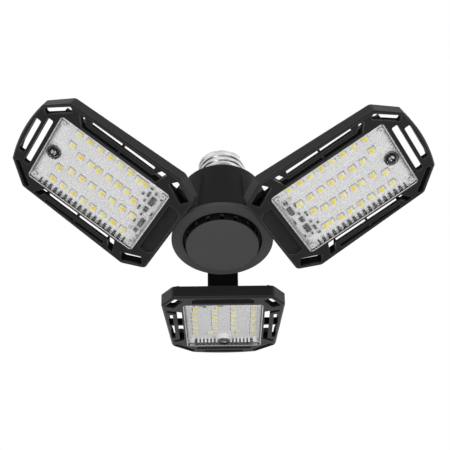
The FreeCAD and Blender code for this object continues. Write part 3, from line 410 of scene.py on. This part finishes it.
# black plastic, painted darker still than the frame as shade, since the arm lies under the ring
shadedArmPlastic = makeMouldedPlastic("arm plastic", (0.002, 0.002, 0.002), (0.006, 0.006, 0.006),
                                0.5, 0.06)
housingPlastic = makeMouldedPlastic("housing plastic", (0.007, 0.007, 0.0075),
                                    (0.012, 0.012, 0.0125), 0.55, 0.1)
ringPlastic = makeGroovePlastic("ring plastic", (0.048, 0.048, 0.049), (0.074, 0.074, 0.075),
                                0.5, groove["ring"])
capPlastic = makeGroovePlastic("cap plastic", (0.046, 0.046, 0.047), (0.070, 0.070, 0.071),
                               0.52, groove["cap"])
nickelPlate = makeMetal("nickel plate", (0.84, 0.84, 0.845), (0.36, 0.36, 0.365), 0.16,
                        streak=(0.08, 0.08, 1.1), grain=0.03)
tinnedContact = makeMetal("tinned contact", (0.74, 0.72, 0.68), (0.55, 0.53, 0.50), 0.3)
tinnedPad = makeMetal("tinned pad", (0.78, 0.78, 0.76), (0.62, 0.62, 0.60), 0.28)
lensScrew = {side: makeLensScrew(side) for side in panels}
blackScrew = makeScrewFinish("black screw", (0.02, 0.02, 0.021), (0.09, 0.09, 0.09), 0.34)
zincScrew = makeScrewFinish("zinc screw", (0.66, 0.66, 0.67), (0.48, 0.48, 0.47), 0.3)
blackPaint = makeSmoothPart("black paint", (0.008, 0.008, 0.009), (0.017, 0.017, 0.018), 0.42,
                            scale=0.7, grain=0.02, Specular_IOR_Level=0.3)
blackGlaze = makeSmoothPart("black glaze", (0.012, 0.012, 0.014), (0.022, 0.022, 0.025), 0.14)
blackResin = makeSmoothPart("black resin", (0.014, 0.014, 0.015), (0.028, 0.028, 0.029), 0.5)
chipCasing = makeSmoothPart("chip casing", (0.82, 0.82, 0.80), (0.90, 0.90, 0.88), 0.4)
warmPhosphor = makeSmoothPart("warm phosphor", (1.0, 0.66, 0.0), (1.0, 0.74, 0.01), 0.35)
paleYellowPhosphor = makeSmoothPart("pale yellow phosphor", (0.96, 0.80, 0.04),
                                    (1.0, 0.90, 0.12), 0.35)
creamPhosphor = makeSmoothPart("cream phosphor", (0.95, 0.90, 0.40), (0.98, 0.95, 0.60), 0.35)
boardPrint = makeSmoothPart("board print", (0.01, 0.01, 0.012), (0.04, 0.04, 0.04), 0.6)
greenMask = makeSmoothPart("green mask", (0.015, 0.10, 0.045), (0.02, 0.14, 0.06), 0.35)
ceramicBody = makeSmoothPart("ceramic body", (0.52, 0.42, 0.30), (0.62, 0.52, 0.38), 0.5)
nylon = makeSmoothPart("nylon", (0.70, 0.69, 0.64), (0.78, 0.77, 0.72), 0.45)
leadSheath = makeSmoothPart("lead sheath", (0.60, 0.61, 0.60), (0.72, 0.73, 0.72), 0.42)
boardMask = {side: makeBoardMask(side) for side in panels}
clearLens = {side: makeClearLens(side) for side in panels}
print("materials made")


def dress(node, material):
    mesh = nodes[node].data
    mesh.materials.clear()
    mesh.materials.append(material)


for node, material in {
    "screw_shell": nickelPlate, "shell_insulator": blackGlaze, "centre_contact": tinnedContact,
    "hub_housing": housingPlastic, "hub_ring": ringPlastic, "hub_cap": capPlastic,
    "cap_screws": blackScrew, "junction_board": greenMask, "junction_parts": blackResin,
    "junction_screws": zincScrew, "base_leads": leadSheath,
}.items():
    dress(node, material)
for side in panels:
    for piece, material in {
        "hinge_pin": blackScrew, "hinge_bush": blackScrew, "hinge_washers": nylon,
        "hub_lead": leadSheath, "panel_lead": leadSheath, "frame": framePlastic[side],
        "heat_sink": blackPaint, "back_screws": blackScrew, "led_board": boardMask[side],
        "lens": clearLens[side], "lens_screw": lensScrew[side], "hinge_arm": shadedArmPlastic,
        "arm_screws": zincScrew,
    }.items():
        dress(side + "_" + piece, material)
print("carried nodes dressed")


def newPiece(name, bm, materials, body, place):
    # writes the mesh in metres, with its place in its vertices
    bmesh.ops.scale(bm, vec=(mm, mm, mm), verts=bm.verts)
    bmesh.ops.transform(bm, matrix=place, verts=bm.verts)
    mesh = bpy.data.meshes.new(name)
    bm.to_mesh(mesh)
    bm.free()
    for material in materials:
        mesh.materials.append(material)
    piece = bpy.data.objects.new(name, mesh)
    bpy.context.scene.collection.objects.link(piece)
    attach(piece, body)
    return piece


def addBlock(bm, centre, size, finish, bevel=0.0, segments=1):
    # a block in one finish, with rounded edges where bevel is given
    made = bmesh.ops.create_cube(bm, size=1.0, matrix=Matrix.Translation(centre)
                                 @ Matrix.Diagonal((*size, 1)))
    for face in {face for vert in made["verts"] for face in vert.link_faces}:
        face.material_index = finish
    if bevel:
        edges = list({edge for vert in made["verts"] for edge in vert.link_edges})
        bmesh.ops.bevel(bm, geom=edges, offset=bevel, offset_type="OFFSET", affect="EDGES",
                        segments=segments, profile=0.5, material=-1, clamp_overlap=True)


boardFace = 4.3    # w of the lit board's white face
chip = {"length": 3.5, "width": 3.1, "height": 0.75, "window": 0.5, "well": 0.12,
        "paleFrom": 0.25, "pad": (0.45, 0.08), "padShare": 0.75, "padLap": 0.1}
bracket = {"gap": 0.3, "line": 0.3, "thick": 0.03, "endShare": 0.9, "endShift": 0.15,
           "sideShare": 1.1, "across": {"left": 1, "right": -1, "rear": 1}}
chipFinishes = {"casing": chipCasing, "warm": warmPhosphor, "yellow": paleYellowPhosphor,
                "cream": creamPhosphor, "pad": tinnedPad, "print": boardPrint}
chipFinish = {name: i for i, name in enumerate(chipFinishes)}
# each row's place across the board, then each chip's u and its shift across
ledRows = {
    16.4: [(25.0, -0.9), (28.5, -0.9), (34.0, 0), (40.0, 0),
           (46.2, 0), (52.5, 0), (58.8, 0), (65.3, 0)],
    5.0: [(24.8, -2.2), (30.4, 0), (35.5, 0), (41.4, 0),
          (47.6, 0), (52.4, 0), (58.9, 0), (65.3, 3.1)],
    -5.9: [(21.1, 0), (27.3, 0), (33.7, 0), (40.0, 0),
           (46.2, 0), (52.4, 0), (58.8, 0), (65.3, -2.8)],
    -17.2: [(21.1, 0), (27.3, 0), (33.7, 0), (40.0, 0),
            (46.2, 0), (52.4, 0), (58.8, 0), (65.3, 0)],
}


def addLedChip(bm, u, v, phosphor):
    # casing, a sunk window in two tones of phosphor, and the pads past its ends
    front, paleFrom = boardFace - chip["height"], u + chip["paleFrom"]
    addBlock(bm, (u, v, boardFace - chip["height"] / 2),
             (chip["length"], chip["width"], chip["height"]), chipFinish["casing"])
    lit = min(bm.faces,
              key=lambda face: (face.calc_center_median() - Vector((u, v, front))).length)
    bmesh.ops.inset_region(bm, faces=[lit], thickness=chip["window"], depth=0.0)
    bmesh.ops.translate(bm, vec=(0, 0, chip["well"]), verts=lit.verts)
    lit.material_index = phosphor
    halves = bmesh.ops.bisect_plane(bm, geom=[lit, *lit.edges, *lit.verts], plane_no=(1, 0, 0),
                                    plane_co=(paleFrom, v, 0))
    for part in halves["geom"]:       # the window looks paler towards the outer end
        if isinstance(part, bmesh.types.BMFace) and part.calc_center_median().x > paleFrom:
            part.material_index = phosphor + 1
    padLength, padThick = chip["pad"]
    for end in (1, -1):
        padU = u + end * (chip["length"] / 2 + padLength / 2 - chip["padLap"])
        addBlock(bm, (padU, v, boardFace - padThick / 2),
                 (padLength, chip["width"] * chip["padShare"], padThick), chipFinish["pad"])


def addBracket(bm, u, v, across):
    # a printed corner mark round a chip's outer end and one side
    line, thick = bracket["line"], bracket["thick"]
    endU = u + chip["length"] / 2 + bracket["gap"]
    endV = v + across * chip["width"] * bracket["endShift"]
    sideV = v + across * (chip["width"] / 2 + bracket["gap"])
    middle = boardFace - thick / 2
    addBlock(bm, (endU, endV, middle), (line, chip["width"] * bracket["endShare"], thick),
             chipFinish["print"])
    addBlock(bm, (u + line / 2, sideV, middle),
             (chip["length"] * bracket["sideShare"], line, thick), chipFinish["print"])


for side in panels:
    bm = bmesh.new()
    for row, places in ledRows.items():
        for i, (u, shift) in enumerate(places):
            addLedChip(bm, u, row + shift, chipFinish["warm"] + (i + (row < 0)) % 2)
            addBracket(bm, u, row + shift, bracket["across"][side])
    chips = newPiece(side + "_chip_array", bm, chipFinishes.values(), side + "_panel",
                     panelPlace(side))
    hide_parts(side + "_led_chips")
print("chips set")

# driver section: centre u and v, size along u and v, height, legs on each side, kind
driverParts = [
    {"at": (16.9, 9.6), "size": (3.9, 4.9, 1.5), "legs": 4, "kind": "resin"},
    {"at": (17.4, 3.0), "size": (3.2, 3.0, 1.2), "legs": 3, "kind": "resin"},
    {"at": (15.3, -5.6), "size": (3.4, 5.2, 1.6), "legs": 2, "kind": "resin"},
    {"at": (20.3, 12.0), "size": (2.2, 3.2, 1.1), "legs": 3, "kind": "resin"},
    {"at": (20.9, 1.6), "size": (2.0, 3.0, 1.0), "legs": 2, "kind": "resin"},
    {"at": (13.4, 2.4), "size": (1.3, 4.2, 0.8), "legs": 0, "kind": "resin"},
    {"at": (12.9, -9.8), "size": (1.3, 3.0, 0.8), "legs": 0, "kind": "resin"},
    {"at": (18.9, -7.2), "size": (1.2, 3.4, 0.7), "legs": 0, "kind": "resin"},
    {"at": (15.6, -11.6), "size": (2.2, 3.8, 0.9), "legs": 0, "kind": "resin"},
    {"at": (18.6, -12.4), "size": (1.6, 2.2, 0.9), "legs": 0, "kind": "ceramic"},
    {"at": (13.6, 13.6), "size": (1.2, 2.2, 0.7), "legs": 0, "kind": "resin"},
    {"at": (23.0, 10.4), "size": (1.3, 2.4, 0.7), "legs": 0, "kind": "resin"},
    {"at": (20.6, 16.2), "size": (1.6, 2.2, 0.9), "legs": 0, "kind": "resin"},
    {"at": (17.4, 14.6), "size": (1.2, 2.4, 0.7), "legs": 0, "kind": "resin"},
    {"at": (15.3, 15.2), "size": (1.2, 2.0, 0.7), "legs": 0, "kind": "ceramic"},
    {"at": (20.4, 7.4), "size": (1.2, 2.4, 0.7), "legs": 0, "kind": "resin"},
    {"at": (17.9, -1.2), "size": (1.2, 2.6, 0.7), "legs": 0, "kind": "resin"},
    {"at": (13.2, -15.0), "size": (1.2, 2.4, 0.7), "legs": 0, "kind": "resin"},
]
package = {"lift": 0.1, "bevel": (0.18, 2), "mark": (0.4, 0.4, 0.03), "markInset": (0.5, 0.55),
           "markSink": 0.005}
leg = {"width": 0.42, "thick": 0.18, "reach": 0.55, "rise": 0.55, "upright": 0.3,
       "shoulder": (0.12, 0.5), "foot": (0.6, 0.8)}
endCap = {"at": 0.4, "share": 0.2, "bevel": 0.08, "body": (0.96, 0.62, 0.9), "bodyBevel": 0.06}
driverFinishes = {"resin": blackResin, "tin": tinnedPad, "ceramic": ceramicBody,
                  "print": boardPrint}
driverFinish = {name: i for i, name in enumerate(driverFinishes)}


def addLeg(bm, u, v, end, height):
    # upright, shoulder out of the body, and foot on the board; u is where the body ends
    reach, thick, rise = leg["reach"], leg["thick"], height * leg["rise"]
    for share, length, middle, tall in (
            (leg["upright"], thick, rise / 2, rise),
            (leg["shoulder"][0], reach * leg["shoulder"][1], rise, thick),
            (leg["foot"][0], reach * leg["foot"][1], thick / 2, thick)):
        addBlock(bm, (u + end * reach * share, v, boardFace - middle), (length, leg["width"], tall),
                 driverFinish["tin"])


def addPackage(bm, part):
    # a moulded body on legs, with a mark beside its first leg
    (u, v), (length, width, height), legs = part["at"], part["size"], part["legs"]
    body = length - 2 * leg["reach"]
    thick = height - package["lift"]
    addBlock(bm, (u, v, boardFace - package["lift"] - thick / 2), (body, width, thick),
             driverFinish[part["kind"]], *package["bevel"])
    markU = u - body / 2 + package["markInset"][0]
    markV = v - width / 2 + package["markInset"][1]
    addBlock(bm, (markU, markV, boardFace - height - package["markSink"]), package["mark"],
             driverFinish["print"])
    for i in range(legs):
        for end in (1, -1):
            addLeg(bm, u + end * body / 2, v + (i - (legs - 1) / 2) * width / legs, end, height)


def addCappedPart(bm, part):
    # a small body between two tinned end caps
    (u, v), size = part["at"], part["size"]
    (length, width, height), middle = size, boardFace - size[2] / 2
    addBlock(bm, (u, v, middle), [whole * share for whole, share in zip(size, endCap["body"])],
             driverFinish[part["kind"]], endCap["bodyBevel"])
    for end in (1, -1):
        addBlock(bm, (u, v + end * width * endCap["at"], middle),
                 (length, width * endCap["share"], height), driverFinish["tin"], endCap["bevel"])


for side in panels:
    bm = bmesh.new()
    for part in driverParts:
        (addPackage if part["legs"] else addCappedPart)(bm, part)
    driver = newPiece(side + "_driver_section", bm, driverFinishes.values(),
                      side + "_panel", panelPlace(side))
    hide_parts(side + "_driver_parts")
print("driver parts set")


def leftPlain(face):
    # round the screw's well and at the corner posts, the lens has no prisms
    middle = face.calc_center_median()
    (low, high), side = lens["postClear"]["u"], lens["postClear"]["v"]
    atScrew = (middle - Vector((*lens["screw"], lens["plateBack"]))).length < lens["screwClear"]
    return atScrew or (abs(middle.y) > side and not low < middle.x < high)


def makePrisms(side):
    # the quilt of small pyramids moulded on the inside of the lens
    bm = bmesh.new()
    acrossU, acrossV = 2 * (lensReach - lens["margin"]), 2 * (lens["half"] - lens["margin"])
    base = (lensMiddle, 0, lens["plateBack"] + lens["prismGap"])
    bmesh.ops.create_grid(bm, x_segments=round(acrossU / lens["prismU"]),
                          y_segments=round(acrossV / lens["prismV"]), size=0.5,
                          matrix=Matrix.Translation(base)
                          @ Matrix.Diagonal((acrossU, acrossV, 1, 1)))
    bmesh.ops.delete(bm, geom=[face for face in bm.faces if leftPlain(face)], context="FACES")
    bmesh.ops.poke(bm, faces=bm.faces[:], offset=lens["prismDepth"], center_mode="MEAN")
    newPiece(side + "_lens_prisms", bm, [clearLens[side]], side + "_panel",
             panelPlace(side))


for side in panels:
    makePrisms(side)
print("lens prisms set")


stage = {"floorDrop": -0.95, "floorSize": 60.0, "floorColour": (0.86, 0.86, 0.86),
         "floorGlow": 0.55, "world": 0.5}

bm = bmesh.new()
bmesh.ops.create_grid(bm, x_segments=1, y_segments=1, size=stage["floorSize"] / 2,
                      matrix=Matrix.Translation((0, 0, stage["floorDrop"])))
floorMesh = bpy.data.meshes.new("floor")
bm.to_mesh(floorMesh)
bm.free()
floorMaterial, wire = newMaterial("floor")
seen = wire.node("ShaderNodeLightPath", out="Is Camera Ray")
pale = wire.node("ShaderNodeBsdfDiffuse", {}, {"Color": (*stage["floorColour"], 1)})
glow = wire.node("ShaderNodeEmission", {}, {"Color": (1, 1, 1, 1), "Strength": 1.0})
mixed = wire.node("ShaderNodeMixShader", {}, {0: seen * stage["floorGlow"], 1: pale, 2: glow})
wire.node("ShaderNodeOutputMaterial", {}, {"Surface": mixed})
floorMesh.materials.append(floorMaterial)
floor = bpy.data.objects.new("floor", floorMesh)
bpy.context.scene.collection.objects.link(floor)

world = bpy.data.worlds.new("studio")
bpy.context.scene.world = world
world.use_nodes = True
world.node_tree.nodes.clear()
wire = Wire(world.node_tree)
# white for the camera, reflections and what is seen through the part, dimmer as a lamp
white = 0.0
for kind in ("Is Camera Ray", "Is Glossy Ray", "Is Transmission Ray"):
    white = wire.node("ShaderNodeLightPath", out=kind).orMore(white)
studio = wire.node("ShaderNodeBackground", {}, {
    "Color": (1, 1, 1, 1), "Strength": stage["world"] + white * (1 - stage["world"])})
wire.node("ShaderNodeOutputWorld", {}, {"Surface": studio})

lamps = {
    "key": {"at": (-0.40, -0.50, -0.75), "size": 0.6, "power": 3.4},
    "fill": {"at": (0.55, -0.30, -0.75), "size": 0.7, "power": 3.0},
    "top": {"at": (0.2, 0.35, 0.85), "size": 0.6, "power": 1.5},
}
for name, lamp in lamps.items():
    light = bpy.data.lights.new(name, "AREA")
    light.energy = lamp["power"]
    light.size = lamp["size"]
    lampObject = bpy.data.objects.new(name, light)
    lampObject.location = lamp["at"]
    lampObject.rotation_euler = (-Vector(lamp["at"])).to_track_quat("-Z", "Y").to_euler()
    bpy.context.scene.collection.objects.link(lampObject)

eye = {"at": (0.00149, -0.38465, -0.40890), "pitch": 45.04, "roll": -0.633, "focal": 82.14,
       "sensor": 36.0, "near": 0.01}
pitch, roll = math.radians(eye["pitch"]), math.radians(eye["roll"])
ahead = Vector((0, math.cos(pitch), math.sin(pitch)))
level = Vector((0, -math.sin(pitch), math.cos(pitch)))
right = math.cos(roll) * Vector((1, 0, 0)) + math.sin(roll) * level
up = -math.sin(roll) * Vector((1, 0, 0)) + math.cos(roll) * level
cameraData = bpy.data.cameras.new("camera")
cameraData.lens = eye["focal"]
cameraData.sensor_width = eye["sensor"]
cameraData.clip_start = eye["near"]
cameraObject = bpy.data.objects.new("camera", cameraData)
cameraObject.matrix_world = (Matrix.Translation(eye["at"])
                             @ Matrix((right, up, -ahead)).transposed().to_4x4())
bpy.context.scene.collection.objects.link(cameraObject)
bpy.context.scene.camera = cameraObject
bpy.context.scene.view_settings.view_transform = "Standard"
print("stage set")
